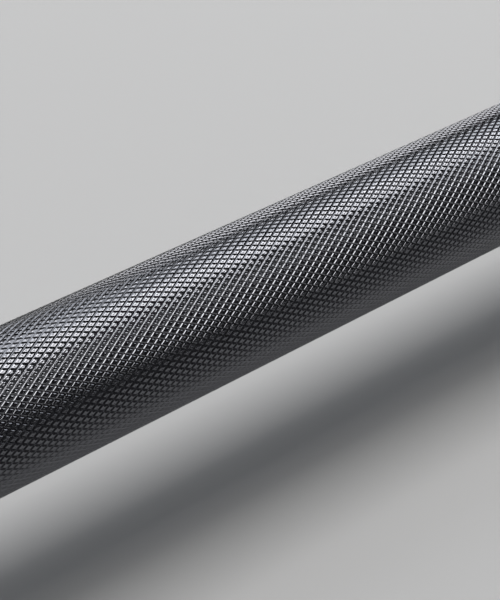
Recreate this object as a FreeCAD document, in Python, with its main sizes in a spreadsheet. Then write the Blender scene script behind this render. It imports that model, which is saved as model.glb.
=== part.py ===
# Olympic barbell: a knurled steel shaft with a free-spinning sleeve on needle bearings at each end.
# Millimetres. The bar lies along X with its middle at the origin, and +Z is up.
# Each end is drawn with +X pointing outwards, and the left end is the same set of pieces turned about Z.

import FreeCAD, Part
import os
import re
import Sketcher

# Driving dimensions, one cell each. Everything else is worked out from these.
# Along the bar they add up to 1310 between the collars and 2200 overall, and across it to sleeves of 50.
DIMENSIONS = {
    # Shaft, from its middle outwards
    "centre_knurl_length": 120,
    "smooth_length": 150,
    "inner_grip_length": 245,
    "ring_mark_width": 5,
    "outer_grip_length": 189,
    "knurl_end_gap": 6,
    "shaft_diameter": 28,
    "knurl_rise": 0.15,
    "shoulder_height": 1.5,
    "shoulder_chamfer": 0.5,
    "shaft_groove_depth": 0.9,
    "shaft_end_land": 4,
    "shaft_end_chamfer": 1,
    "shaft_end_gap": 3,
    "centre_drill_radius": 3,
    "centre_drill_depth": 5,
    # Sleeve
    "loadable_length": 415,
    "sleeve_wall": 9,
    "sleeve_end_wall": 4,
    "sleeve_end_lip": 2.4,
    "sleeve_end_chamfer": 1.5,
    "sleeve_bore_chamfer": 0.6,
    "mouth_step": 2,
    "thrust_lip_width": 4,
    "thrust_lip_clearance": 0.8,
    # Collar ring that stops the plates
    "collar_width": 30,
    "collar_seat_depth": 0.5,
    "collar_hub_height": 8,
    "collar_taper_height": 4,
    "collar_taper_width": 8,
    "collar_chamfer": 1.5,
    "collar_groove_width": 3,
    "collar_groove_depth": 1,
    # Dust seal
    "seal_setback": 1.5,
    "seal_width": 6,
    "seal_inner_gap": 4.5,
    "seal_lip_width": 1.6,
    "seal_web": 1.6,
    "seal_clearance": 0.05,
    # Needle bearings
    "needle_count": 18,
    "needle_diameter": 2.5,
    "needle_length": 19.8,
    "needle_chamfer": 0.3,
    "needle_clearance": 0.02,
    "cage_wall": 1,
    "cage_rim_width": 1.75,
    "cage_end_gap": 0.3,
    "pocket_clearance": 0.1,
    "cup_wall": 1,
    "cup_lip_clearance": 0.6,
    # Spacer tube and thrust washers
    "spacer_wall": 1.75,
    "spacer_clearance": 0.15,
    "washer_thickness": 2,
    "washer_clearance": 0.1,
    "end_play": 0.1,
    # End cap
    "cap_thickness": 8,
    "cap_chamfer": 0.6,
    "cap_rim_width": 9,
    "cap_dish_depth": 1.5,
    "cap_groove_width": 1.2,
    "cap_groove_depth": 0.6,
    # Snap rings, one on the shaft behind its washer and one in the sleeve over its cap
    "ring_side_clearance": 0.05,
    "ring_gap_angle": 44,
    "lug_setback_angle": 8,
    "shaft_ring_thickness": 1.5,
    "shaft_ring_width": 2.6,
    "shaft_lug_inset": 0.2,
    "shaft_lug_clearance": 0.6,
    "shaft_lug_hole": 1.4,
    "cap_ring_thickness": 1.8,
    "cap_ring_width": 3,
    "cap_ring_seat_depth": 1.2,
    "cap_lug_inset": 0.8,
    "cap_lug_diameter": 5,
    "cap_lug_hole": 2.2,
}

FULL_TURN = 360
SIDES = {"right": 0, "left": FULL_TURN / 2}

# Places along the shaft, measured outwards from its middle.
CENTRE_END = "(centre_knurl_length / 2)"
GRIP_START = f"({CENTRE_END} + smooth_length)"
MARK_START = f"({GRIP_START} + inner_grip_length)"
MARK_END = f"({MARK_START} + ring_mark_width)"
GRIP_END = f"({MARK_END} + outer_grip_length)"

# Places along the sleeve, worked inwards from both of its ends so that the spacer tube takes up the rest.
COLLAR_FACE = f"({GRIP_END} + knurl_end_gap)"
PLATE_FACE = f"({COLLAR_FACE} + collar_width)"
SLEEVE_END = f"({PLATE_FACE} + loadable_length)"
SEAL_START = f"({COLLAR_FACE} + seal_setback)"
SHOULDER = f"({SEAL_START} + seal_width + seal_inner_gap)"
LIP_START = f"({SHOULDER} + washer_thickness + end_play)"
LIP_END = f"({LIP_START} + thrust_lip_width)"
CAP_RING_END = f"({SLEEVE_END} - sleeve_end_lip)"
CAP_FACE = f"({CAP_RING_END} - cap_ring_thickness - 2 * ring_side_clearance)"
CAP_SEAT = f"({CAP_FACE} - cap_thickness)"
SHAFT_END = f"({CAP_SEAT} - shaft_end_gap)"
SHAFT_GROOVE_END = f"({SHAFT_END} - shaft_end_land)"
SHAFT_GROOVE_START = f"({SHAFT_GROOVE_END} - shaft_ring_thickness - 2 * ring_side_clearance)"
SHAFT_RING_START = f"({SHAFT_GROOVE_START} + ring_side_clearance)"
OUTER_WASHER_START = f"({SHAFT_RING_START} - washer_thickness)"
STACK_END = f"({OUTER_WASHER_START} - end_play)"

# Each bearing's length, and where the pair at each end of the sleeve starts.
POCKET_LENGTH = "(needle_length + pocket_clearance)"
CAGE_START = "(cup_wall + cage_end_gap)"
CUP_LENGTH = f"({POCKET_LENGTH} + 2 * (cage_rim_width + {CAGE_START}))"
CUP_STARTS = [
    LIP_END,
    f"({LIP_END} + {CUP_LENGTH})",
    f"({STACK_END} - 2 * {CUP_LENGTH})",
    f"({STACK_END} - {CUP_LENGTH})",
]
SPACER_START = f"({LIP_END} + 2 * {CUP_LENGTH})"
SPACER_END = CUP_STARTS[2]

# Distances from the bar's axis, from the shaft outwards.
SHAFT_RADIUS = "(shaft_diameter / 2)"
KNURL_RADIUS = f"({SHAFT_RADIUS} + knurl_rise)"
JOURNAL_RADIUS = f"({SHAFT_RADIUS} - shoulder_height)"
SHAFT_GROOVE_RADIUS = f"({JOURNAL_RADIUS} - shaft_groove_depth)"
PITCH_RADIUS = f"({JOURNAL_RADIUS} + needle_diameter / 2)"
NEEDLE_RADIUS = "(needle_diameter / 2 - needle_clearance)"
RACE_RADIUS = f"({JOURNAL_RADIUS} + needle_diameter)"
BORE_RADIUS = f"({RACE_RADIUS} + cup_wall)"
LIP_RADIUS = f"({JOURNAL_RADIUS} + thrust_lip_clearance)"
MOUTH_RADIUS = f"({BORE_RADIUS} + mouth_step)"
SLEEVE_RADIUS = f"({BORE_RADIUS} + sleeve_wall)"
CAP_RADIUS = f"({SLEEVE_RADIUS} - sleeve_end_wall)"
CAP_RING_SEAT_RADIUS = f"({CAP_RADIUS} + cap_ring_seat_depth)"
COLLAR_SEAT_RADIUS = f"({SLEEVE_RADIUS} - collar_seat_depth)"
COLLAR_HUB_RADIUS = f"({SLEEVE_RADIUS} + collar_hub_height)"
COLLAR_RADIUS = f"({COLLAR_HUB_RADIUS} + collar_taper_height)"

doc = FreeCAD.newDocument("OlympicBarbell")


def make_sheet():
    """The spreadsheet that holds the driving dimensions."""
    sheet = doc.addObject("Spreadsheet::Sheet", "Dimensions")
    for row, (alias, value) in enumerate(DIMENSIONS.items(), start=1):
        sheet.set(f"A{row}", alias)
        sheet.set(f"B{row}", str(value))
        sheet.setAlias(f"B{row}", alias)
    doc.recompute()
    return sheet


SHEET = make_sheet()


def bound(text):
    """The expression with each dimension's name pointing at its cell."""

    def cell(match):
        word = match.group()
        return f"Dimensions.{word}" if word in DIMENSIONS else word

    return re.sub(r"[a-z_]+", cell, text)


def value(text):
    """What the expression measures now, which places the sketch before its constraints hold it."""
    return float(SHEET.evalExpression(bound(text)))


def new_body(label, turn, start="0"):
    """An empty body whose local X starts at that place along the bar, on the side that turn gives."""
    body = doc.addObject("PartDesign::Body", label)
    body.Label = label
    body.Placement.Rotation = FreeCAD.Rotation(FreeCAD.Vector(0, 0, 1), turn)
    outwards = "-1" if turn else "1"
    body.setExpression("Placement.Base.x", bound(f"{outwards} * {start}"))
    return body


def origin_feature(body, role):
    """One of the body's own origin planes or axes."""
    return next(f for f in body.Origin.OriginFeatures if f.Role == role)


def new_sketch(body, name, plane):
    sketch = body.newObject("Sketcher::SketchObject", name)
    sketch.AttachmentSupport = [(origin_feature(body, plane), "")]
    sketch.MapMode = "FlatFace"
    return sketch


def hold(sketch, constraint, text):
    """Adds a dimension to the sketch and binds it to the sheet."""
    index = sketch.addConstraint(constraint)
    sketch.setExpression(f"Constraints[{index}]", bound(text))


def hold_point(sketch, edge, end, across, up):
    """Fixes one end of an edge at two bound distances from the sketch's origin."""
    for text, kind, axis in ((across, "DistanceX", -2), (up, "DistanceY", -1)):
        if text == "0":
            sketch.addConstraint(Sketcher.Constraint("PointOnObject", edge, end, axis))
        else:
            distance = Sketcher.Constraint(kind, -1, 1, edge, end, value(text))
            hold(sketch, distance, text)


def closed_outline(sketch, points):
    """A closed run of straight edges whose corners are all bound to the sheet."""
    corners = [FreeCAD.Vector(value(across), value(up), 0) for across, up in points]
    for corner, following in zip(corners, corners[1:] + corners[:1]):
        sketch.addGeometry(Part.LineSegment(corner, following), False)
    for edge, (across, up) in enumerate(points):
        before = (edge - 1) % len(points)
        sketch.addConstraint(Sketcher.Constraint("Coincident", before, 2, edge, 1))
        hold_point(sketch, edge, 1, across, up)


def circle(sketch, across, up, diameter):
    """A circle whose place and diameter are bound to the sheet."""
    centre = FreeCAD.Vector(value(across), value(up), 0)
    normal = FreeCAD.Vector(0, 0, 1)
    edge = sketch.addGeometry(Part.Circle(centre, normal, value(diameter) / 2), False)
    hold_point(sketch, edge, 3, across, up)
    hold(sketch, Sketcher.Constraint("Diameter", edge, value(diameter)), diameter)


def turned(body, points):
    """A solid of revolution about the bar's axis. Each point is (along the bar, from the axis)."""
    sketch = new_sketch(body, body.Label + "_outline", "XZ_Plane")
    closed_outline(sketch, points)
    solid = body.newObject("PartDesign::Revolution", body.Label + "_turned")
    solid.Profile = sketch
    solid.ReferenceAxis = (origin_feature(body, "X_Axis"), [""])
    solid.Angle = FULL_TURN
    doc.recompute()
    return solid


def round_pattern(body, feature, count):
    """Repeats a feature evenly about the bar's axis."""
    pattern = body.newObject("PartDesign::PolarPattern", body.Label + "_pattern")
    pattern.Originals = [feature]
    pattern.Axis = (origin_feature(body, "X_Axis"), [""])
    pattern.Angle = FULL_TURN
    pattern.setExpression("Occurrences", bound(count))
    body.Tip = pattern
    doc.recompute()


def tube(label, turn, start, length, inner, outer):
    """A plain tube or washer from its start along the bar."""
    body = new_body(label, turn, start)
    turned(body, [("0", inner), (length, inner), (length, outer), ("0", outer)])
    return body


def make_shaft():
    """One steel bar: a centre knurl, two grip knurls with ring marks, and a drilled journal at each end."""
    half = [
        (CENTRE_END, KNURL_RADIUS),
        (CENTRE_END, SHAFT_RADIUS),
        (GRIP_START, SHAFT_RADIUS),
        (GRIP_START, KNURL_RADIUS),
        (MARK_START, KNURL_RADIUS),
        (MARK_START, SHAFT_RADIUS),
        (MARK_END, SHAFT_RADIUS),
        (MARK_END, KNURL_RADIUS),
        (GRIP_END, KNURL_RADIUS),
        (GRIP_END, SHAFT_RADIUS),
        (f"({SHOULDER} - shoulder_chamfer)", SHAFT_RADIUS),
        (SHOULDER, f"({SHAFT_RADIUS} - shoulder_chamfer)"),
        (SHOULDER, JOURNAL_RADIUS),
        (SHAFT_GROOVE_START, JOURNAL_RADIUS),
        (SHAFT_GROOVE_START, SHAFT_GROOVE_RADIUS),
        (SHAFT_GROOVE_END, SHAFT_GROOVE_RADIUS),
        (SHAFT_GROOVE_END, JOURNAL_RADIUS),
        (f"({SHAFT_END} - shaft_end_chamfer)", JOURNAL_RADIUS),
        (SHAFT_END, f"({JOURNAL_RADIUS} - shaft_end_chamfer)"),
        (SHAFT_END, "centre_drill_radius"),
        (f"({SHAFT_END} - centre_drill_depth)", "0"),
    ]
    other_half = [(f"-{along}", radius) for along, radius in reversed(half)]
    body = new_body("shaft", 0)
    turned(body, half + other_half)
    return body


def make_sleeve(side, turn):
    """The tube that carries the plates: collar seat, mouth, thrust lip, bore, cap seat and ring groove."""
    body = new_body(f"{side}_sleeve", turn)
    turned(
        body,
        [
            (COLLAR_FACE, f"({MOUTH_RADIUS} + sleeve_bore_chamfer)"),
            (COLLAR_FACE, COLLAR_SEAT_RADIUS),
            (PLATE_FACE, COLLAR_SEAT_RADIUS),
            (PLATE_FACE, SLEEVE_RADIUS),
            (f"({SLEEVE_END} - sleeve_end_chamfer)", SLEEVE_RADIUS),
            (SLEEVE_END, f"({SLEEVE_RADIUS} - sleeve_end_chamfer)"),
            (SLEEVE_END, f"({CAP_RADIUS} + sleeve_bore_chamfer)"),
            (f"({SLEEVE_END} - sleeve_bore_chamfer)", CAP_RADIUS),
            (CAP_RING_END, CAP_RADIUS),
            (CAP_RING_END, CAP_RING_SEAT_RADIUS),
            (CAP_FACE, CAP_RING_SEAT_RADIUS),
            (CAP_FACE, CAP_RADIUS),
            (CAP_SEAT, CAP_RADIUS),
            (CAP_SEAT, BORE_RADIUS),
            (LIP_END, BORE_RADIUS),
            (LIP_END, LIP_RADIUS),
            (LIP_START, LIP_RADIUS),
            (LIP_START, MOUTH_RADIUS),
            (f"({COLLAR_FACE} + sleeve_bore_chamfer)", MOUTH_RADIUS),
        ],
    )
    return body


def make_collar(side, turn):
    """The ring that stops the plates, pressed on the sleeve's seat, with one turned groove."""
    groove_middle = "((collar_taper_width + collar_width) / 2)"
    groove_start = f"({groove_middle} - collar_groove_width / 2)"
    groove_end = f"({groove_middle} + collar_groove_width / 2)"
    groove_radius = f"({COLLAR_RADIUS} - collar_groove_depth)"
    body = new_body(f"{side}_collar", turn, COLLAR_FACE)
    turned(
        body,
        [
            ("0", COLLAR_SEAT_RADIUS),
            ("0", f"({COLLAR_HUB_RADIUS} - collar_chamfer)"),
            ("collar_chamfer", COLLAR_HUB_RADIUS),
            ("collar_taper_width", COLLAR_RADIUS),
            (groove_start, COLLAR_RADIUS),
            (groove_start, groove_radius),
            (groove_end, groove_radius),
            (groove_end, COLLAR_RADIUS),
            ("(collar_width - collar_chamfer)", COLLAR_RADIUS),
            ("collar_width", f"({COLLAR_RADIUS} - collar_chamfer)"),
            ("collar_width", COLLAR_SEAT_RADIUS),
        ],
    )
    return body


def make_dust_seal(side, turn):
    """A rubber ring in the sleeve's mouth, whose thin lip runs on the smooth shaft."""
    running_radius = f"({SHAFT_RADIUS} + seal_clearance)"
    web_radius = f"({MOUTH_RADIUS} - seal_web)"
    body = new_body(f"{side}_dust_seal", turn, SEAL_START)
    turned(
        body,
        [
            ("0", running_radius),
            ("seal_lip_width", running_radius),
            ("seal_lip_width", web_radius),
            ("seal_width", web_radius),
            ("seal_width", MOUTH_RADIUS),
            ("0", MOUTH_RADIUS),
        ],
    )
    return body


def make_cup(label, turn, start):
    """A drawn bearing cup: a thin shell with a lip turned in at each end."""
    lip_radius = f"({JOURNAL_RADIUS} + cup_lip_clearance)"
    far_lip = f"({CUP_LENGTH} - cup_wall)"
    body = new_body(label, turn, start)
    turned(
        body,
        [
            ("0", lip_radius),
            ("0", BORE_RADIUS),
            (CUP_LENGTH, BORE_RADIUS),
            (CUP_LENGTH, lip_radius),
            (far_lip, lip_radius),
            (far_lip, RACE_RADIUS),
            ("cup_wall", RACE_RADIUS),
            ("cup_wall", lip_radius),
        ],
    )
    return body


def make_cage(label, turn, start):
    """The ring that spaces the needles, with one open pocket for each."""
    inner = f"({PITCH_RADIUS} - cage_wall / 2)"
    outer = f"({PITCH_RADIUS} + cage_wall / 2)"
    cage_end = f"({CUP_LENGTH} - {CAGE_START})"
    pocket_start = f"({CAGE_START} + cage_rim_width)"
    pocket_end = f"({pocket_start} + {POCKET_LENGTH})"
    half_width = f"({NEEDLE_RADIUS} + pocket_clearance)"
    body = new_body(label, turn, start)
    turned(body, [(CAGE_START, inner), (cage_end, inner), (cage_end, outer), (CAGE_START, outer)])
    sketch = new_sketch(body, label + "_pocket_outline", "XY_Plane")
    closed_outline(
        sketch,
        [
            (pocket_start, f"-{half_width}"),
            (pocket_end, f"-{half_width}"),
            (pocket_end, half_width),
            (pocket_start, half_width),
        ],
    )
    pocket = body.newObject("PartDesign::Pocket", label + "_pocket")
    pocket.Profile = sketch
    pocket.Reversed = True
    pocket.setExpression("Length", bound(BORE_RADIUS))
    doc.recompute()
    round_pattern(body, pocket, "needle_count")
    return body


def make_needles(label, turn, start):
    """The needles of one bearing: hardened rollers with chamfered ends, evenly spaced."""
    first = f"(({CUP_LENGTH} - needle_length) / 2)"
    last = f"({first} + needle_length)"
    rim = f"({PITCH_RADIUS} + {NEEDLE_RADIUS})"
    end_rim = f"({rim} - needle_chamfer)"
    body = new_body(label, turn, start)
    body.AllowCompound = True
    sketch = new_sketch(body, label + "_outline", "XZ_Plane")
    closed_outline(
        sketch,
        [
            (first, PITCH_RADIUS),
            (last, PITCH_RADIUS),
            (last, end_rim),
            (f"({last} - needle_chamfer)", rim),
            (f"({first} + needle_chamfer)", rim),
            (first, end_rim),
        ],
    )
    roller = body.newObject("PartDesign::Revolution", label + "_roller")
    roller.Profile = sketch
    roller.ReferenceAxis = (sketch, ["Edge1"])
    roller.Angle = FULL_TURN
    doc.recompute()
    round_pattern(body, roller, "needle_count")
    return body


def make_snap_ring(label, turn, start, thickness, inner, outer, lug_radius, lug_diameter, lug_hole):
    """An open spring ring, its gap at the bottom, with a drilled lug for pliers beside each end."""
    reach = bound(f"({FULL_TURN} - ring_gap_angle) / 2")
    lug_angle = "(ring_gap_angle / 2 + lug_setback_angle)"
    across = f"({lug_radius} * sin({lug_angle}))"
    down = f"-({lug_radius} * cos({lug_angle}))"
    body = new_body(label, turn, start)
    section = new_sketch(body, label + "_section", "XZ_Plane")
    closed_outline(section, [("0", inner), (thickness, inner), (thickness, outer), ("0", outer)])
    ring = body.newObject("PartDesign::Revolution", label + "_ring")
    ring.Profile = section
    ring.ReferenceAxis = (origin_feature(body, "X_Axis"), [""])
    ring.Type = "TwoAngles"
    ring.setExpression("Angle", reach)
    ring.setExpression("Angle2", reach)
    doc.recompute()
    lug_sketch = new_sketch(body, label + "_lug_outline", "YZ_Plane")
    hole_sketch = new_sketch(body, label + "_hole_outline", "YZ_Plane")
    for place in (across, f"-{across}"):
        circle(lug_sketch, place, down, lug_diameter)
        circle(hole_sketch, place, down, lug_hole)
    lugs = body.newObject("PartDesign::Pad", label + "_lugs")
    lugs.Profile = lug_sketch
    lugs.setExpression("Length", bound(thickness))
    doc.recompute()
    holes = body.newObject("PartDesign::Pocket", label + "_holes")
    holes.Profile = hole_sketch
    holes.Reversed = True
    holes.setExpression("Length", bound(thickness))
    doc.recompute()
    return body


def make_shaft_ring(side, turn):
    """The snap ring in the shaft's groove. Its lugs stand outwards, clear of the sleeve's bore."""
    lug_inner = f"({SHAFT_GROOVE_RADIUS} + shaft_lug_inset)"
    lug_outer = f"({BORE_RADIUS} - shaft_lug_clearance)"
    return make_snap_ring(
        f"{side}_shaft_snap_ring",
        turn,
        SHAFT_RING_START,
        "shaft_ring_thickness",
        SHAFT_GROOVE_RADIUS,
        f"({SHAFT_GROOVE_RADIUS} + shaft_ring_width)",
        f"(({lug_inner} + {lug_outer}) / 2)",
        f"({lug_outer} - {lug_inner})",
        "shaft_lug_hole",
    )


def make_cap_ring(side, turn):
    """The snap ring in the sleeve's end. Its lugs stand inwards, over the cap."""
    return make_snap_ring(
        f"{side}_cap_snap_ring",
        turn,
        f"({CAP_FACE} + ring_side_clearance)",
        "cap_ring_thickness",
        f"({CAP_RING_SEAT_RADIUS} - cap_ring_width)",
        CAP_RING_SEAT_RADIUS,
        f"({CAP_RING_SEAT_RADIUS} - cap_lug_inset - cap_lug_diameter / 2)",
        "cap_lug_diameter",
        "cap_lug_hole",
    )


def make_end_cap(side, turn):
    """The disc that closes the sleeve, turned with a shallow dish inside a rim, and one ring groove."""
    dish_radius = f"({CAP_RADIUS} - cap_rim_width)"
    dish_floor = "(cap_thickness - cap_dish_depth)"
    groove_middle = f"({dish_radius} + (cap_rim_width - cap_ring_width) / 2)"
    groove_inner = f"({groove_middle} - cap_groove_width / 2)"
    groove_outer = f"({groove_middle} + cap_groove_width / 2)"
    groove_floor = "(cap_thickness - cap_groove_depth)"
    body = new_body(f"{side}_end_cap", turn, CAP_SEAT)
    turned(
        body,
        [
            ("0", "0"),
            ("0", f"({CAP_RADIUS} - cap_chamfer)"),
            ("cap_chamfer", CAP_RADIUS),
            ("cap_thickness", CAP_RADIUS),
            ("cap_thickness", groove_outer),
            (groove_floor, groove_outer),
            (groove_floor, groove_inner),
            ("cap_thickness", groove_inner),
            ("cap_thickness", dish_radius),
            (dish_floor, f"({dish_radius} - cap_dish_depth)"),
            (dish_floor, "0"),
        ],
    )
    return body


def make_washer(label, turn, start):
    """A bronze thrust washer round the journal."""
    inner = f"({JOURNAL_RADIUS} + washer_clearance)"
    outer = f"({BORE_RADIUS} - washer_clearance)"
    return tube(label, turn, start, "washer_thickness", inner, outer)


def make_spacer(side, turn):
    """The tube that holds the two pairs of bearings apart."""
    outer = f"({BORE_RADIUS} - spacer_clearance)"
    inner = f"({outer} - spacer_wall)"
    length = f"({SPACER_END} - {SPACER_START})"
    return tube(f"{side}_spacer_tube", turn, SPACER_START, length, inner, outer)


def make_end(side, turn):
    """All the pieces on one end of the bar."""
    pieces = [
        make_sleeve(side, turn),
        make_collar(side, turn),
        make_dust_seal(side, turn),
        make_washer(f"{side}_inner_thrust_washer", turn, SHOULDER),
        make_spacer(side, turn),
        make_washer(f"{side}_outer_thrust_washer", turn, OUTER_WASHER_START),
        make_shaft_ring(side, turn),
        make_end_cap(side, turn),
        make_cap_ring(side, turn),
    ]
    for number, start in enumerate(CUP_STARTS, start=1):
        pieces.append(make_cup(f"{side}_bearing_cup_{number}", turn, start))
        pieces.append(make_cage(f"{side}_needle_cage_{number}", turn, start))
        pieces.append(make_needles(f"{side}_needles_{number}", turn, start))
    return pieces


def check(pieces):
    """Stops the build if any feature failed or a piece isn't a sound solid."""
    doc.recompute()
    failed = [o.Label for o in doc.Objects if {"Invalid", "Error"} & set(o.State)]
    failed += [p.Label for p in pieces if p.Shape.isNull() or not p.Shape.isValid()]
    failed += [p.Label for p in pieces if not p.Shape.Solids]
    if failed:
        raise RuntimeError(f"these pieces failed: {failed}")


def main():
    pieces = [make_shaft()]
    for side, turn in SIDES.items():
        pieces += make_end(side, turn)
    check(pieces)
    os.makedirs("parts", exist_ok=True)
    for piece in pieces:
        piece.Shape.exportStep(os.path.join("parts", piece.Label + ".step"))
    volume = sum(piece.Shape.Volume for piece in pieces)
    print(f"{len(pieces)} pieces, {volume:.0f} cubic mm")


main()
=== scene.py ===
import math

import bmesh
import bpy
import numpy as np
from mathutils import Matrix, Vector


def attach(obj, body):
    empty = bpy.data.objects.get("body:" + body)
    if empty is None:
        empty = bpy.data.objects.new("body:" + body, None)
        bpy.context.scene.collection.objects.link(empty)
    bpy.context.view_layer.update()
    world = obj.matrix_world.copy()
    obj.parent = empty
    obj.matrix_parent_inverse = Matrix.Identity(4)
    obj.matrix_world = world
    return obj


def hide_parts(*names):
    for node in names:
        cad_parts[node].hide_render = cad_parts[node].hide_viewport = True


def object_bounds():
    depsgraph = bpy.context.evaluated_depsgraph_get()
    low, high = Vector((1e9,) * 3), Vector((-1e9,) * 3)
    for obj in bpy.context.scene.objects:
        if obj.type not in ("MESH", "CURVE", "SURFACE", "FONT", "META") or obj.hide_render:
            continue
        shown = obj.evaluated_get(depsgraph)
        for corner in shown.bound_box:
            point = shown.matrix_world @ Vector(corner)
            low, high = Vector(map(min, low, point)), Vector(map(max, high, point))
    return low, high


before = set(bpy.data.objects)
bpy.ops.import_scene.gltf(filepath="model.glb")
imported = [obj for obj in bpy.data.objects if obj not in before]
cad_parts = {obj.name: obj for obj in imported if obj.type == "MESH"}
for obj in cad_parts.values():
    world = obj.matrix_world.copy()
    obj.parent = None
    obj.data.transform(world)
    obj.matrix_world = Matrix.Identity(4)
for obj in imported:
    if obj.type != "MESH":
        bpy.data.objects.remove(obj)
cad_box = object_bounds()

MM = 0.001
FULL_TURN = 2 * math.pi
SIDES = (("right", 1), ("left", -1))

# Shaft
SHAFT_RADIUS = 14.0
CENTRE_KNURL_END = 60.0
GRIP_START = 210.0
RING_START = 455.0
RING_END = 460.0
GRIP_END = 649.0
SHOULDER = 667.0
SHOULDER_ROUNDING = 0.5
JOURNAL_RADIUS = 12.5
JOURNAL_END = 1084.7
JOURNAL_ROUNDING = 1.0
SNAP_GROOVE_START = 1079.1
SNAP_GROOVE_END = 1080.7
SNAP_GROOVE_RADIUS = 11.6
CENTRE_DRILL_RADIUS = 3.0
CENTRE_DRILL_DEPTH = 5.0
GRIP_KNURLS = (("inner_grip", GRIP_START, RING_START), ("outer_grip", RING_END, GRIP_END))
PLAIN_STRETCHES = (("smooth_shaft", CENTRE_KNURL_END, GRIP_START), ("ring_mark", RING_START, RING_END))

# Knurl: two crossing sets of helical grooves, and a pit in each diamond they leave
KNURL_STARTS = 64
CREST_RADIUS = 14.15
CREST_EDGE_RADIUS = 14.135
VALLEY_RADIUS = 14.02
PIT_RADIUS = 14.11
KNURL_RUN_OUT = 2.0
SPARE_ROWS = 3
RISING_HELIX_SLOPE = 0.559149
FALLING_HELIX_SLOPE = 0.571239
RISING_PHASE_SHARE = 0.165
FALLING_PHASE_SHARE = 0.02

# Sides of a diamond, named as the grooves are counted. The left flank is shaded apart at its two ends.
LOWER, RIGHT, UPPER, LEFT, LEFT_END = range(5)
DIAMOND_SIDES = (LOWER, RIGHT, UPPER, LEFT)

# Kinds of face on a knurl. The flanks and the crest have one for each side.
FLANK_KINDS = range(0, 5)
CREST_KINDS = range(5, 9)
PIT_KIND = 9
END_KIND = 10

# Places in a diamond, as shares of a groove's spacing, in from the left, right, lower and upper grooves
CREST_EDGE_SHARES = (0.19, 0.22, 0.09, 0.23)
PIT_EDGE_SHARES = (0.32, 0.26, 0.31, 0.26)
PIT_CENTRE_SHARES = (0.55, 0.57)
LEFT_FLANK_END_SHARES = (0.09, 0.11)

# Degrees that the shading leans towards each side, at a flank's foot and head and at a crest's edge and top
FLANK_TILT_DEGREES = {LOWER: (42, 48), RIGHT: (32, 36), UPPER: (37, 45), LEFT: (20, 50), LEFT_END: (12, 22)}
CREST_TILT_DEGREES = {LOWER: (46, 10), RIGHT: (4, 0), UPPER: (4, 0), LEFT: (10, 1)}

# Sleeve, collar and what closes the ends
COLLAR_FACE = 655.0
COLLAR_END = 685.0
HUB_RADIUS = 33.0
HUB_ROUNDING = 1.5
COLLAR_RADIUS = 37.0
HUB_TAPER_END = 663.0
COLLAR_GROOVE_START = 672.5
COLLAR_GROOVE_END = 675.5
COLLAR_GROOVE_RADIUS = 36.0
RIM_ROUNDING = 1.5
SLEEVE_NECK_RADIUS = 24.5
SLEEVE_RADIUS = 25.0
SLEEVE_END = 1100.0
SLEEVE_ROUNDING = 1.5
MOUTH_RADIUS = 18.0
MOUTH_END = 663.0
BORE_RADIUS = 16.0
SEAL_START = 656.5
SEAL_END = 662.5
SEAL_BORE_RADIUS = 14.05
SEAL_LIP_LENGTH = 1.2
SEAL_FACE_RADIUS = 15.4
CAP_RADIUS = 21.0
CAP_START = 1087.7
CAP_FACE = 1095.7
CAP_DISH_FLOOR = 1094.2
CAP_DISH_RADIUS = 12.0
CAP_GROOVE_FLOOR = 1095.1
CAP_GROOVE_INNER_RADIUS = 14.4
CAP_GROOVE_OUTER_RADIUS = 15.6
CAP_RING_SEAT_RADIUS = 22.2
CAP_RING_SEAT_END = 1097.6
BORE_ROUNDING = 0.6

# Mesh fineness, and the least value that anything is divided by
SEGMENTS = 160
ROUNDING_STEPS = 4
EDGE_ROUNDING = 0.25
LONGEST_STEP = 25.0
LEAST_DIVISOR = 0.001

# Black steel of the shaft
BLACK_STEEL_DARK = (0.107, 0.1085, 0.1165)
BLACK_STEEL_LIGHT = (0.151, 0.153, 0.1645)
GRAIN_SIZE = 0.12
GRAIN_DEPTH = 0.001
POLISH_PATCH_SIZE = 12.0
GROOVE_TONE_SHARE = 0.6
CREST_TONE_SHARE = 0.3
GRAIN_TONE_SHARE = 0.4
GROOVE_ROUGHNESS = 0.03
GRAIN_ROUGHNESS = (0.02, 0.1)
POLISH_ROUGHNESS = (0.02, 0.12)

# Marks on turned metal and grain on moulded pieces
NOISE_DETAIL = 4.0
LINE_DETAIL = 2.0
METAL_PATCH_SIZE = 9.0
LINE_TONE_SHARE = 0.4
PATCH_TONE_SHARE = 0.6
LINE_ROUGHNESS_SWING = 0.05
PATCH_ROUGHNESS_SWING = 0.04
SCUFF_STRETCH = (0.02, 1.0, 1.0)
SCUFF_WIDTH = 0.7
SCUFF_START_SHARE = 0.56
SCUFF_FULL_SHARE = 0.72
MOULDED_ROUGHNESS_SWING = 0.08

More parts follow.
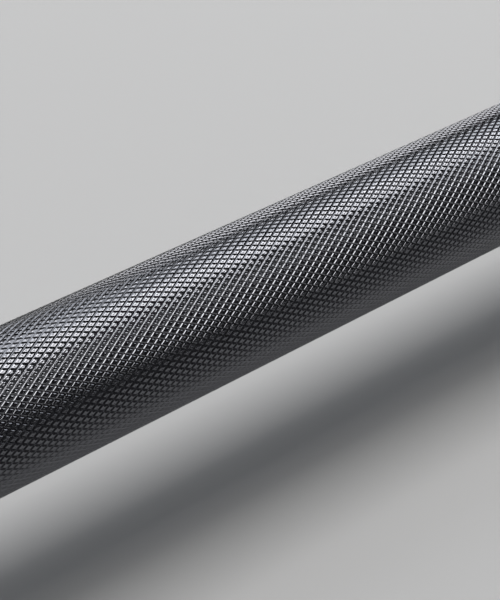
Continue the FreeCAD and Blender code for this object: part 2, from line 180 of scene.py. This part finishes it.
TURNED_METALS = {
    "sleeve_chrome": {
        "dark": (0.38, 0.385, 0.39),
        "light": (0.47, 0.475, 0.48),
        "roughness": 0.42,
        "line_pitch": 0.8,
        "line_depth": 0.003,
        "scuff_roughness": 0.1,
    },
    "collar_chrome": {
        "dark": (0.4, 0.405, 0.41),
        "light": (0.49, 0.495, 0.5),
        "roughness": 0.36,
        "line_pitch": 0.6,
        "line_depth": 0.002,
        "scuff_roughness": 0.06,
    },
    "cap_steel": {
        "dark": (0.05, 0.051, 0.055),
        "light": (0.1, 0.101, 0.107),
        "roughness": 0.3,
        "line_pitch": 0.4,
        "line_depth": 0.004,
        "faced": True,
    },
    "spring_steel": {
        "dark": (0.15, 0.15, 0.16),
        "light": (0.24, 0.24, 0.25),
        "roughness": 0.38,
        "line_pitch": 0.3,
        "line_depth": 0.003,
    },
    "spacer_steel": {
        "dark": (0.42, 0.42, 0.43),
        "light": (0.54, 0.54, 0.55),
        "roughness": 0.34,
        "line_pitch": 0.5,
        "line_depth": 0.004,
    },
    "bearing_steel": {
        "dark": (0.54, 0.54, 0.55),
        "light": (0.66, 0.66, 0.67),
        "roughness": 0.14,
        "line_pitch": 0.3,
        "line_depth": 0.001,
    },
    "bronze": {
        "dark": (0.48, 0.3, 0.13),
        "light": (0.66, 0.46, 0.22),
        "roughness": 0.3,
        "line_pitch": 0.4,
        "line_depth": 0.003,
        "faced": True,
    },
}
MOULDED_MATERIALS = {
    "cage_polymer": {
        "dark": (0.09, 0.09, 0.09),
        "light": (0.14, 0.14, 0.14),
        "roughness": 0.5,
        "grain_size": 0.3,
        "grain_depth": 0.01,
    },
    "seal_rubber": {
        "dark": (0.02, 0.02, 0.02),
        "light": (0.04, 0.04, 0.04),
        "roughness": 0.65,
        "grain_size": 0.2,
        "grain_depth": 0.01,
    },
}

# Materials of the nodes that stay as they are, by a part of their names
NODE_SLOTS = {
    "thrust_washer": "bronze",
    "spacer_tube": "spacer_steel",
    "snap_ring": "spring_steel",
    "bearing_cup": "bearing_steel",
    "needle_cage": "cage_polymer",
    "needles": "bearing_steel",
}

# Camera
CAMERA_PLACE = (103.0, -218.92, 200.48)
CAMERA_TARGET = (281.9, -0.92, -0.99)
SENSOR_SIZE = 36.0
LENS = 105.31
NEAREST_SEEN = 10.0

# Floor and surroundings
FLOOR_SIZE = 30000.0
FLOOR_COLOUR = (0.42, 0.42, 0.42)
FLOOR_ROUGHNESS = 0.9
FLOOR_FADE_CENTRE = (1200.0, 800.0, 0.0)
FLOOR_FADE_START = 1600.0
FLOOR_FADE_END = 4500.0
HORIZON_COLOUR = (0.22, 0.22, 0.23)
OVERHEAD_COLOUR = (0.045, 0.045, 0.05)
OVERHEAD_START_SHARE = 0.35
WORLD_LIGHT_SHARE = 0.25

# Lamps, each facing the same point of the bar from the same distance
LAMP_CENTRE = (290.0, 0.0, 0.0)
LAMP_DISTANCE = 3000.0
WARM_WHITE = (1.0, 0.99, 0.98)
COOL_WHITE = (0.93, 0.96, 1.0)
LAMPS = {
    "far_softbox": {
        "colour": WARM_WHITE,
        "direction": (0.487, 0.22, 0.845),
        "length": 1600.0,
        "depth": 1350.0,
        "radiance": 6.75,
    },
    "near_softbox": {
        "colour": WARM_WHITE,
        "direction": (0.08, 0.15, 0.985),
        "length": 1300.0,
        "depth": 2000.0,
        "radiance": 6.8,
    },
    "back_panel": {
        "colour": COOL_WHITE,
        "direction": (0.155, 0.795, 0.587),
        "length": 950.0,
        "depth": 2000.0,
        "radiance": 3.8,
    },
    "side_panel": {
        "colour": COOL_WHITE,
        "direction": (0.53, 0.52, 0.67),
        "length": 1500.0,
        "depth": 1200.0,
        "radiance": 3.5,
    },
    "edge_panel": {
        "colour": COOL_WHITE,
        "direction": (0.76, 0.0, 0.65),
        "length": 640.0,
        "depth": 1800.0,
        "radiance": 3.0,
    },
}


def mesh_object(name, vertices, faces, corner_normals=None):
    """A mesh object from vertices in millimetres."""
    mesh = bpy.data.meshes.new(name)
    mesh.from_pydata((np.asarray(vertices) * MM).tolist(), [], faces)
    mesh.update()
    if corner_normals is not None:
        mesh.polygons.foreach_set("use_smooth", np.ones(len(mesh.polygons), dtype=bool))
        mesh.normals_split_custom_set(corner_normals)
    piece = bpy.data.objects.new(name, mesh)
    bpy.context.scene.collection.objects.link(piece)
    return piece


def rounded(corners):
    """Points of an outline of (x, radius, rounding) corners, each with the normals before and after it."""
    points = []
    for index, (x, radius, rounding) in enumerate(corners):
        here = np.array([x, radius])
        before = np.array(corners[index - 1][:2])
        after = np.array(corners[(index + 1) % len(corners)][:2])
        coming = (here - before) / np.linalg.norm(here - before)
        going = (after - here) / np.linalg.norm(after - here)
        first_normal = np.array([-coming[1], coming[0]])
        last_normal = np.array([-going[1], going[0]])
        if not rounding:
            points.append((here, first_normal, last_normal))
            continue
        turn = math.acos(np.clip(coming @ going, -1, 1))
        bend = np.sign(coming[0] * going[1] - coming[1] * going[0])
        centre = here - coming * rounding * math.tan(turn / 2) + first_normal * bend * rounding
        for step in range(ROUNDING_STEPS + 1):
            angle = bend * turn * step / ROUNDING_STEPS
            swing = np.array([[math.cos(angle), -math.sin(angle)], [math.sin(angle), math.cos(angle)]])
            normal = swing @ first_normal
            points.append((centre - normal * bend * rounding, normal, normal))
    return points


def turned(name, corners, side):
    """A turned piece from a closed outline of (x, radius, rounding) corners, with the solid on its right."""
    outline = rounded(corners)
    stations = []
    for index, (here, first_normal, last_normal) in enumerate(outline):
        stations.append((here, first_normal, last_normal))
        after = outline[(index + 1) % len(outline)][0]
        steps = math.ceil(np.linalg.norm(after - here) / LONGEST_STEP)
        for step in range(1, steps):
            stations.append((here + (after - here) * step / steps, last_normal, last_normal))
    angles = np.arange(SEGMENTS) * FULL_TURN / SEGMENTS
    round_axis = np.stack([np.zeros(SEGMENTS), -np.sin(angles), np.cos(angles)], axis=1)
    along = np.array([side, 0.0, 0.0])
    vertices = []
    rings = []
    for here, _, _ in stations:
        if here[1] == 0:
            rings.append([len(vertices)] * SEGMENTS)
            vertices.append(along * here[0])
        else:
            rings.append(list(range(len(vertices), len(vertices) + SEGMENTS)))
            vertices.extend(along * here[0] + round_axis * here[1])
    faces = []
    normals = []
    for index in range(len(stations)):
        following = (index + 1) % len(stations)
        start_radius = stations[index][0][1]
        end_radius = stations[following][0][1]
        if start_radius == 0 and end_radius == 0:
            continue
        start_normal = stations[index][2]
        end_normal = stations[following][1]
        for segment in range(SEGMENTS):
            onward = (segment + 1) % SEGMENTS
            corner_list = [(rings[index][segment], start_normal, segment)]
            if start_radius:
                corner_list.append((rings[index][onward], start_normal, onward))
            corner_list.append((rings[following][onward], end_normal, onward))
            if end_radius:
                corner_list.append((rings[following][segment], end_normal, segment))
            if side < 0:
                corner_list.reverse()
            faces.append([number for number, normal, turn in corner_list])
            for number, normal, turn in corner_list:
                normals.append(along * normal[0] + round_axis[turn] * normal[1])
    return mesh_object(name, vertices, faces, normals)


def knurl_strength(x, zone):
    """How far the knurl has run in at x, from 0 at its zone's ends to 1."""
    return np.clip(np.minimum(x - zone[0], zone[1] - x) / KNURL_RUN_OUT, 0, 1)


def knurl_point(rising, falling, radius, zone):
    """Where a rising and a falling groove line cross, both counted round the bar."""
    rise = (rising + RISING_PHASE_SHARE) * FULL_TURN / KNURL_STARTS
    fall = (falling + FALLING_PHASE_SHARE) * FULL_TURN / KNURL_STARTS
    x = CREST_RADIUS * (rise - fall) / (RISING_HELIX_SLOPE + FALLING_HELIX_SLOPE)
    angle = rise - RISING_HELIX_SLOPE * x / CREST_RADIUS
    reach = SHAFT_RADIUS + (radius - SHAFT_RADIUS) * knurl_strength(x, zone)
    return np.stack([x, -reach * np.sin(angle), reach * np.cos(angle)], axis=-1)


def knurl_faces(start, end, zone):
    """Vertices, faces and kinds of face of the diamonds from start to end, with some rows to spare."""
    spacing = CREST_RADIUS * FULL_TURN / KNURL_STARTS / (RISING_HELIX_SLOPE + FALLING_HELIX_SLOPE)
    first_row = math.floor(start / spacing) - SPARE_ROWS
    last_row = math.ceil(end / spacing) + SPARE_ROWS
    row, begun = np.meshgrid(np.arange(first_row, last_row), np.arange(KNURL_STARTS), indexing="ij")
    parts = []

    def placed(rising, falling, radius):
        """Numbers of new points, one for each pair of groove counts."""
        first = sum(len(part) for part in parts)
        parts.append(knurl_point(rising, falling, radius, zone).reshape(-1, 3))
        return first + np.arange(rising.size).reshape(rising.shape)

    crossing = placed(row + begun, begun, VALLEY_RADIUS)
    onward = np.roll(crossing, -1, axis=1)
    valley = [crossing[1:-1], crossing[2:], onward[1:-1], onward[:-2]]
    lower, upper = LEFT_FLANK_END_SHARES
    flank_start = placed(row + begun, begun + lower, VALLEY_RADIUS)
    flank_end = placed(row + begun, begun + 1 - upper, VALLEY_RADIUS)
    rising = (row + begun)[1:-1]
    falling = begun[1:-1]
    left, right, lower, upper = CREST_EDGE_SHARES
    corners = ((left, lower), (1 - right, lower), (1 - right, 1 - upper), (left, 1 - upper))
    edge = [placed(rising + across, falling + up, CREST_EDGE_RADIUS) for across, up in corners]
    left, right, lower, upper = PIT_EDGE_SHARES
    across, up = PIT_CENTRE_SHARES
    middles = ((across, lower), (1 - right, up), (across, 1 - upper), (left, up))
    rim = [placed(rising + across, falling + up, CREST_RADIUS) for across, up in middles]
    bottom = placed(rising + across, falling + up, PIT_RADIUS)

    # A right flank shares the points of the next diamond's left flank, along the groove between them.
    outlines = [
        (FLANK_KINDS[LOWER], (valley[0], valley[1], edge[1], edge[0])),
        (FLANK_KINDS[RIGHT], (valley[1], flank_start[2:], edge[1])),
        (FLANK_KINDS[RIGHT], (flank_start[2:], flank_end[2:], edge[2], edge[1])),
        (FLANK_KINDS[RIGHT], (flank_end[2:], valley[2], edge[2])),
        (FLANK_KINDS[UPPER], (valley[2], valley[3], edge[3], edge[2])),
        (FLANK_KINDS[LEFT_END], (valley[3], flank_end[1:-1], edge[3])),
        (FLANK_KINDS[LEFT], (flank_end[1:-1], flank_start[1:-1], edge[0], edge[3])),
        (FLANK_KINDS[LEFT_END], (flank_start[1:-1], valley[0], edge[0])),
    ]
    for side in DIAMOND_SIDES:
        after = (side + 1) % len(DIAMOND_SIDES)
        # The lower edge's steep shading ends with its first face. Its second is shaded as the right side's.
        second_side = RIGHT if side == LOWER else side
        outlines += [
            (CREST_KINDS[side], (edge[side], edge[after], rim[side])),
            (CREST_KINDS[second_side], (rim[side], edge[after], rim[after])),
            (PIT_KIND, (rim[side], rim[after], bottom)),
        ]
    faces = []
    kinds = []
    for kind, outline in outlines:
        faces.extend(np.stack(outline, axis=-1).reshape(-1, len(outline)).tolist())
        kinds.extend([kind] * rising.size)
    return np.concatenate(parts), faces, kinds


def read_values(items, name, width, kind):
    """One value of each item of a mesh, as an array."""
    values = np.empty(len(items) * width, dtype=kind)
    items.foreach_get(name, values)
    return values.reshape(-1, width) if width > 1 else values


def shade_knurl(mesh, zone):
    """Rounds the diamonds' edges in the shading and leaves the pits faceted."""
    kinds = read_values(mesh.attributes["kind"].data, "value", 1, np.int32)
    places = read_values(mesh.vertices, "co", 3, np.float64) / MM
    where = places[read_values(mesh.loops, "vertex_index", 1, np.int32)]
    corner_kind = np.repeat(kinds, read_values(mesh.polygons, "loop_total", 1, np.int32))
    mesh.polygons.foreach_set("use_smooth", kinds < PIT_KIND)
    radius = np.maximum(np.linalg.norm(where[:, 1:], axis=1), LEAST_DIVISOR)
    outward = where * (0, 1, 1) / radius[:, None]
    turnward = np.stack([np.zeros(len(where)), -outward[:, 2], outward[:, 1]], axis=1)
    along = np.array([1.0, 0.0, 0.0])
    up_fall = (turnward - FALLING_HELIX_SLOPE * along) / math.hypot(1, FALLING_HELIX_SLOPE)
    up_rise = (turnward + RISING_HELIX_SLOPE * along) / math.hypot(1, RISING_HELIX_SLOPE)
    leans = {LOWER: -up_fall, RIGHT: up_rise, UPPER: up_fall, LEFT: -up_rise, LEFT_END: -up_rise}
    firm = knurl_strength(where[:, 0], zone)
    full_radius = SHAFT_RADIUS + (radius - SHAFT_RADIUS) / np.maximum(firm, LEAST_DIVISOR)
    normals = np.zeros_like(where)
    bands = (
        (FLANK_KINDS, (VALLEY_RADIUS, CREST_EDGE_RADIUS), FLANK_TILT_DEGREES),
        (CREST_KINDS, (CREST_EDGE_RADIUS, CREST_RADIUS), CREST_TILT_DEGREES),
    )
    for band_kinds, heights, side_tilts in bands:
        for side, tilts in side_tilts.items():
            tilt = firm * np.radians(np.interp(full_radius, heights, tilts))
            leaning = outward * np.cos(tilt)[:, None] + leans[side] * np.sin(tilt)[:, None]
            chosen = corner_kind == band_kinds[side]
            normals[chosen] = leaning[chosen]
    mesh.normals_split_custom_set(normals)


def knurled(name, start, end, zone):
    """A stretch of the shaft from start to end, in a knurled zone, closed at both ends."""
    vertices, faces, kinds = knurl_faces(start, end, zone)
    piece = mesh_object(name, vertices, faces)
    mesh = piece.data
    mesh.attributes.new("kind", "INT", "FACE").data.foreach_set("value", kinds)
    form = bmesh.new()
    form.from_mesh(mesh)
    kind_layer = form.faces.layers.int["kind"]
    for x, outward in ((start, -1), (end, 1)):
        place = (x * MM, 0, 0)
        cut = bmesh.ops.bisect_plane(
            form,
            geom=form.verts[:] + form.edges[:] + form.faces[:],
            plane_co=place,
            plane_no=(outward, 0, 0),
            clear_outer=True,
        )
        centre = form.verts.new(place)
        for edge in cut["geom_cut"]:
            if isinstance(edge, bmesh.types.BMEdge):
                form.faces.new([*edge.verts, centre])[kind_layer] = END_KIND
    bmesh.ops.recalc_face_normals(form, faces=form.faces[:])
    form.to_mesh(mesh)
    form.free()
    shade_knurl(mesh, zone)
    mesh.attributes.remove(mesh.attributes["kind"])
    return piece


def node(tree, kind, inputs=None, **settings):
    """A new node with these settings, its inputs set to values or linked to sockets."""
    made = tree.nodes.new(kind)
    for key, value in settings.items():
        setattr(made, key, value)
    set_inputs(tree, made, inputs or {})
    return made


def set_inputs(tree, holder, inputs):
    """Sets a node's inputs to values, or links them to sockets."""
    for key, value in inputs.items():
        if isinstance(value, bpy.types.NodeSocket):
            tree.links.new(value, holder.inputs[key])
        else:
            holder.inputs[key].default_value = value


def set_shader(tree, inputs):
    """Sets or links the inputs of a material's shader."""
    set_inputs(tree, tree.nodes["Principled BSDF"], inputs)


def new_material(name):
    """A material, its node tree, and where on the object a point lies."""
    material = bpy.data.materials.new(name)
    material.use_nodes = True
    tree = material.node_tree
    return material, tree, node(tree, "ShaderNodeTexCoord").outputs["Object"]


def noise(tree, place, grain):
    """Noise from 0 to 1, with grains about this long."""
    inputs = {"Vector": place, "Scale": 1 / (grain * MM), "Detail": NOISE_DETAIL}
    return node(tree, "ShaderNodeTexNoise", inputs).outputs["Fac"]


def rings_of(tree, distance, pitch):
    """Noise from 0 to 1 that changes only with one distance, as turning marks do."""
    inputs = {"W": distance, "Scale": 1 / (pitch * MM), "Detail": LINE_DETAIL}
    return node(tree, "ShaderNodeTexNoise", inputs, noise_dimensions="1D").outputs["Fac"]


def times(tree, place, factors):
    """A place with its x, y and z multiplied."""
    return node(tree, "ShaderNodeVectorMath", {0: place, 1: factors}, operation="MULTIPLY").outputs["Vector"]


def from_axis(tree, place):
    """Distance from the bar's axis."""
    across = times(tree, place, (0, 1, 1))
    return node(tree, "ShaderNodeVectorMath", {0: across}, operation="LENGTH").outputs["Value"]


def along_axis(tree, place):
    """Distance along the bar's axis."""
    return node(tree, "ShaderNodeSeparateXYZ", {"Vector": place}).outputs["X"]


def ranged(tree, value, low, high, start=0.0, end=1.0):
    """A value that runs from low to high while another runs from start to end."""
    inputs = {"Value": value, "From Min": start, "From Max": end, "To Min": low, "To Max": high}
    return node(tree, "ShaderNodeMapRange", inputs).outputs["Result"]


def total(tree, first, second):
    """The sum of two values."""
    return node(tree, "ShaderNodeMath", {0: first, 1: second}, operation="ADD").outputs["Value"]


def toned(tree, value, dark, light):
    """A colour that runs from dark to light with a value."""
    ramp = node(tree, "ShaderNodeValToRGB", {"Fac": value})
    ramp.color_ramp.elements[0].color = (*dark, 1)
    ramp.color_ramp.elements[1].color = (*light, 1)
    return ramp.outputs["Color"]


def bumped(tree, height, depth):
    """A normal for a surface with bumps of this depth."""
    return node(tree, "ShaderNodeBump", {"Height": height, "Distance": depth * MM}).outputs["Normal"]


def black_steel():
    """Blackened steel: cleaner on the knurl's crests than in its grooves, with faint grain and polish."""
    material, tree, place = new_material("black_shaft_steel")
    crest = ranged(tree, from_axis(tree, place), 0.0, 1.0, VALLEY_RADIUS * MM, CREST_RADIUS * MM)
    grain = noise(tree, place, GRAIN_SIZE)
    polish = noise(tree, place, POLISH_PATCH_SIZE)
    height_tone = ranged(tree, crest, GROOVE_TONE_SHARE, CREST_TONE_SHARE)
    tone = total(tree, height_tone, ranged(tree, grain, 0.0, GRAIN_TONE_SHARE))
    worn = total(tree, ranged(tree, crest, GROOVE_ROUGHNESS, 0.0), ranged(tree, grain, *GRAIN_ROUGHNESS))
    set_shader(tree, {
        "Base Color": toned(tree, tone, BLACK_STEEL_DARK, BLACK_STEEL_LIGHT),
        "Metallic": 1.0,
        "Roughness": total(tree, worn, ranged(tree, polish, *POLISH_ROUGHNESS)),
        "Normal": bumped(tree, grain, GRAIN_DEPTH),
    })
    return material


def turned_metal(name, dark, light, roughness, line_pitch, line_depth, faced=False, scuff_roughness=0.0):
    """Metal with turning marks, in rings along the axis or, on a faced end, from it."""
    material, tree, place = new_material(name)
    distance = from_axis(tree, place) if faced else along_axis(tree, place)
    lines = rings_of(tree, distance, line_pitch)
    patches = noise(tree, place, METAL_PATCH_SIZE)
    streaks = noise(tree, times(tree, place, SCUFF_STRETCH), SCUFF_WIDTH)
    scuffed = ranged(tree, streaks, 0.0, scuff_roughness, SCUFF_START_SHARE, SCUFF_FULL_SHARE)
    line_tone = ranged(tree, lines, 0.0, LINE_TONE_SHARE)
    tone = total(tree, line_tone, ranged(tree, patches, 0.0, PATCH_TONE_SHARE))
    line_roughness = ranged(tree, lines, -LINE_ROUGHNESS_SWING, LINE_ROUGHNESS_SWING)
    smoothest = roughness - PATCH_ROUGHNESS_SWING
    roughest = roughness + PATCH_ROUGHNESS_SWING
    marked = total(tree, line_roughness, ranged(tree, patches, smoothest, roughest))
    set_shader(tree, {
        "Base Color": toned(tree, tone, dark, light),
        "Metallic": 1.0,
        "Roughness": total(tree, marked, scuffed),
        "Normal": bumped(tree, lines, line_depth),
    })
    return material


def moulded(name, dark, light, roughness, grain_size, grain_depth):
    """Moulded plastic or rubber with a fine grain."""
    material, tree, place = new_material(name)
    grain = noise(tree, place, grain_size)
    smoothest = roughness - MOULDED_ROUGHNESS_SWING
    roughest = roughness + MOULDED_ROUGHNESS_SWING
    set_shader(tree, {
        "Base Color": toned(tree, grain, dark, light),
        "Roughness": ranged(tree, grain, smoothest, roughest),
        "Normal": bumped(tree, grain, grain_depth),
    })
    return material


def make_materials():
    """Every material of the bar, by the name of its slot."""
    materials = {"black_shaft_steel": black_steel()}
    for name, look in TURNED_METALS.items():
        materials[name] = turned_metal(name, **look)
    for name, look in MOULDED_MATERIALS.items():
        materials[name] = moulded(name, **look)
    return materials


MATERIALS = make_materials()


def dress(piece, slot, body, replaced_node):
    """Gives a piece its material, the body it rides on and the node it stands for."""
    piece.data.materials.append(MATERIALS[slot])
    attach(piece, body)
    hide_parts(replaced_node)


def build_shaft():
    """The knurled and smooth stretches of the shaft, and its journals."""
    centre = (-CENTRE_KNURL_END, CENTRE_KNURL_END)
    sections = [knurled("centre_knurl", *centre, centre)]
    for word, side in SIDES:
        for zone_name, start, end in GRIP_KNURLS:
            zone = sorted((side * start, side * end))
            middle = sum(zone) / 2
            sections.append(knurled(f"{word}_{zone_name}_knurl_1", zone[0], middle, zone))
            sections.append(knurled(f"{word}_{zone_name}_knurl_2", middle, zone[1], zone))
        for zone_name, start, end in PLAIN_STRETCHES:
            outline = [(start, 0, 0), (start, SHAFT_RADIUS, 0), (end, SHAFT_RADIUS, 0), (end, 0, 0)]
            sections.append(turned(f"{word}_{zone_name}", outline, side))
        journal = [
            (GRIP_END, 0, 0),
            (GRIP_END, SHAFT_RADIUS, 0),
            (SHOULDER, SHAFT_RADIUS, SHOULDER_ROUNDING),
            (SHOULDER, JOURNAL_RADIUS, 0),
            (SNAP_GROOVE_START, JOURNAL_RADIUS, 0),
            (SNAP_GROOVE_START, SNAP_GROOVE_RADIUS, 0),
            (SNAP_GROOVE_END, SNAP_GROOVE_RADIUS, 0),
            (SNAP_GROOVE_END, JOURNAL_RADIUS, 0),
            (JOURNAL_END, JOURNAL_RADIUS, JOURNAL_ROUNDING),
            (JOURNAL_END, CENTRE_DRILL_RADIUS, 0),
            (JOURNAL_END - CENTRE_DRILL_DEPTH, 0, 0),
        ]
        sections.append(turned(f"{word}_journal", journal, side))
    for section in sections:
        dress(section, "black_shaft_steel", "shaft", "shaft")


def build_sleeve(word, side):
    """One end's sleeve, with its collar, dust seal and end cap."""
    body = f"{word}_sleeve"
    collar = [
        (COLLAR_FACE, SLEEVE_NECK_RADIUS, 0),
        (COLLAR_FACE, HUB_RADIUS, HUB_ROUNDING),
        (HUB_TAPER_END, COLLAR_RADIUS, EDGE_ROUNDING),
        (COLLAR_GROOVE_START, COLLAR_RADIUS, EDGE_ROUNDING),
        (COLLAR_GROOVE_START, COLLAR_GROOVE_RADIUS, EDGE_ROUNDING),
        (COLLAR_GROOVE_END, COLLAR_GROOVE_RADIUS, EDGE_ROUNDING),
        (COLLAR_GROOVE_END, COLLAR_RADIUS, EDGE_ROUNDING),
        (COLLAR_END, COLLAR_RADIUS, RIM_ROUNDING),
        (COLLAR_END, SLEEVE_NECK_RADIUS, 0),
    ]
    dress(turned(f"{word}_collar_ring", collar, side), "collar_chrome", body, f"{word}_collar")
    tube = [
        (COLLAR_FACE, MOUTH_RADIUS, EDGE_ROUNDING),
        (COLLAR_FACE, SLEEVE_NECK_RADIUS, 0),
        (COLLAR_END, SLEEVE_NECK_RADIUS, 0),
        (COLLAR_END, SLEEVE_RADIUS, 0),
        (SLEEVE_END, SLEEVE_RADIUS, SLEEVE_ROUNDING),
        (SLEEVE_END, CAP_RADIUS, BORE_ROUNDING),
        (CAP_RING_SEAT_END, CAP_RADIUS, 0),
        (CAP_RING_SEAT_END, CAP_RING_SEAT_RADIUS, 0),
        (CAP_FACE, CAP_RING_SEAT_RADIUS, 0),
        (CAP_FACE, CAP_RADIUS, 0),
        (CAP_START, CAP_RADIUS, 0),
        (CAP_START, BORE_RADIUS, 0),
        (MOUTH_END, BORE_RADIUS, 0),
        (MOUTH_END, MOUTH_RADIUS, 0),
    ]
    dress(turned(f"{word}_sleeve_tube", tube, side), "sleeve_chrome", body, f"{word}_sleeve")
    seal = [
        (SEAL_START, SEAL_BORE_RADIUS, EDGE_ROUNDING),
        (SEAL_START, SEAL_FACE_RADIUS, EDGE_ROUNDING),
        (SEAL_START + SEAL_LIP_LENGTH, MOUTH_RADIUS, 0),
        (SEAL_END, MOUTH_RADIUS, 0),
        (SEAL_END, SEAL_BORE_RADIUS, EDGE_ROUNDING),
    ]
    dress(turned(f"{word}_seal_ring", seal, side), "seal_rubber", body, f"{word}_dust_seal")
    cap = [
        (CAP_START, 0, 0),
        (CAP_START, CAP_RADIUS, EDGE_ROUNDING),
        (CAP_FACE, CAP_RADIUS, EDGE_ROUNDING),
        (CAP_FACE, CAP_GROOVE_OUTER_RADIUS, EDGE_ROUNDING),
        (CAP_GROOVE_FLOOR, CAP_GROOVE_OUTER_RADIUS, EDGE_ROUNDING),
        (CAP_GROOVE_FLOOR, CAP_GROOVE_INNER_RADIUS, EDGE_ROUNDING),
        (CAP_FACE, CAP_GROOVE_INNER_RADIUS, EDGE_ROUNDING),
        (CAP_FACE, CAP_DISH_RADIUS, EDGE_ROUNDING),
        (CAP_DISH_FLOOR, CAP_DISH_RADIUS, EDGE_ROUNDING),
        (CAP_DISH_FLOOR, 0, 0),
    ]
    dress(turned(f"{word}_end_plate", cap, side), "cap_steel", body, f"{word}_end_cap")


def dress_nodes():
    """Gives the nodes that stay as they are their materials."""
    for name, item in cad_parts.items():
        for part_of_name, slot in NODE_SLOTS.items():
            if part_of_name in name:
                item.data.materials.clear()
                item.data.materials.append(MATERIALS[slot])


def shown_rays(tree):
    """1 for rays that show the background, directly or in metal and glass, and 0 for rays that light."""
    rays = node(tree, "ShaderNodeLightPath").outputs
    seen = total(tree, rays["Is Camera Ray"], rays["Is Glossy Ray"])
    return total(tree, seen, rays["Is Transmission Ray"])


def build_floor():
    """Pale under the lamps, and shown in the horizon's colour further off."""
    level = cad_box[0].z / MM
    half = FLOOR_SIZE / 2
    corners = [(-half, -half, level), (half, -half, level), (half, half, level), (-half, half, level)]
    floor = mesh_object("floor", corners, [(0, 1, 2, 3)])
    material, tree, place = new_material("studio_floor")
    centre = tuple(Vector(FLOOR_FADE_CENTRE) * MM)
    away = node(tree, "ShaderNodeVectorMath", {0: place, 1: centre}, operation="DISTANCE").outputs["Value"]
    span = {"Value": away, "From Min": FLOOR_FADE_START * MM, "From Max": FLOOR_FADE_END * MM}
    faded = node(tree, "ShaderNodeMapRange", span, interpolation_type="SMOOTHSTEP").outputs["Result"]
    shown = node(tree, "ShaderNodeMath", {0: shown_rays(tree), 1: faded}, operation="MULTIPLY")
    set_shader(tree, {
        "Base Color": (*FLOOR_COLOUR, 1),
        "Roughness": FLOOR_ROUGHNESS,
        "Specular IOR Level": 0.0,
        "Emission Color": (*HORIZON_COLOUR, 1),
        "Emission Strength": shown.outputs["Value"],
    })
    floor.data.materials.append(material)


def build_world():
    """Pale at the horizon and darker overhead; it lights the object less than it shows."""
    world = bpy.data.worlds.new("studio")
    world.use_nodes = True
    bpy.context.scene.world = world
    tree = world.node_tree
    direction = node(tree, "ShaderNodeTexCoord").outputs["Generated"]
    height = node(tree, "ShaderNodeSeparateXYZ", {"Vector": direction}).outputs["Z"]
    climb = ranged(tree, height, 0.0, 1.0, 0.0, OVERHEAD_START_SHARE)
    set_inputs(tree, tree.nodes["Background"], {
        "Color": toned(tree, climb, HORIZON_COLOUR, OVERHEAD_COLOUR),
        "Strength": ranged(tree, shown_rays(tree), WORLD_LIGHT_SHARE, 1.0),
    })


def build_lamp(name, colour, direction, length, depth, radiance):
    """A soft lamp of this brightness, length along the bar and depth across it."""
    lamp = bpy.data.lights.new(name, "AREA")
    lamp.shape = "RECTANGLE"
    lamp.size = length * MM
    lamp.size_y = depth * MM
    lamp.energy = radiance * math.pi * lamp.size * lamp.size_y
    lamp.color = colour
    holder = bpy.data.objects.new(name, lamp)
    holder.visible_camera = False
    toward = Vector(direction).normalized()
    lengthwise = Vector((0, 1, 0)).cross(toward).normalized()
    holder.rotation_euler = Matrix((lengthwise, toward.cross(lengthwise), toward)).transposed().to_euler()
    holder.location = (Vector(LAMP_CENTRE) + toward * LAMP_DISTANCE) * MM
    bpy.context.scene.collection.objects.link(holder)


def build_camera():
    """The camera at the photograph's viewing angle."""
    lens = bpy.data.cameras.new("camera")
    lens.sensor_width = SENSOR_SIZE
    lens.lens = LENS
    lens.clip_start = NEAREST_SEEN * MM
    camera = bpy.data.objects.new("camera", lens)
    camera.location = Vector(CAMERA_PLACE) * MM
    aim = Vector(CAMERA_TARGET) - Vector(CAMERA_PLACE)
    camera.rotation_euler = aim.to_track_quat("-Z", "Y").to_euler()
    bpy.context.scene.collection.objects.link(camera)
    bpy.context.scene.camera = camera


build_shaft()
for word, side in SIDES:
    build_sleeve(word, side)
dress_nodes()

build_floor()
build_world()
for name, lamp in LAMPS.items():
    build_lamp(name, **lamp)
build_camera()
bpy.context.scene.view_settings.view_transform = "Standard"
